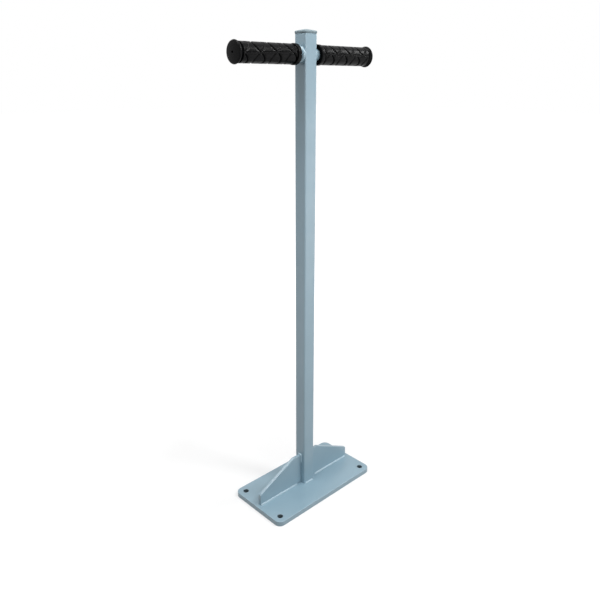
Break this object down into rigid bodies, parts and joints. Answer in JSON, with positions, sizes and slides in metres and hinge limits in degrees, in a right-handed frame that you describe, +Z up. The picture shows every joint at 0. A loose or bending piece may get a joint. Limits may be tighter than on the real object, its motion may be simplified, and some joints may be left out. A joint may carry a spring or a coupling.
{
  "type": "hand tamper",
  "caption": "Hand tamper with a square tube post welded to a gusseted rectangular foot plate with bolt holes, and a round cross bar with moulded rubber grips.",
  "frame": {"origin": "middle of the foot plate's underside", "axes": "+X along the foot plate and the cross bar, +Y across them, +Z up along the post"},
  "size_m": [0.288, 0.13, 0.8366],
  "materials": {
    "coated_steel": "satin blue-grey powder coat",
    "coated_weld": "satin blue-grey powder coat over a weld bead",
    "cap_plastic": "moulded blue-grey plastic",
    "grip_rubber": "matt black moulded rubber"
  },
  "bodies": {
    "root": {"base_plate": "coated_steel", "post": "coated_steel", "post_cap": "cap_plastic", "gusset_left": "coated_steel", "gusset_right": "coated_steel", "handle_bar": "coated_steel", "grip_left": "grip_rubber", "grip_right": "grip_rubber", "handle_weld_left": "coated_weld", "handle_weld_right": "coated_weld", "post_weld_front": "coated_weld", "post_weld_back": "coated_weld", "gusset_left_weld_front": "coated_weld", "gusset_left_weld_back": "coated_weld", "gusset_right_weld_front": "coated_weld", "gusset_right_weld_back": "coated_weld", "gusset_left_stitch_front": "coated_weld", "gusset_left_stitch_back": "coated_weld", "gusset_right_stitch_front": "coated_weld", "gusset_right_stitch_back": "coated_weld", "gusset_left_weld_top": "coated_weld", "gusset_right_weld_top": "coated_weld"}
  },
  "joints": []
}
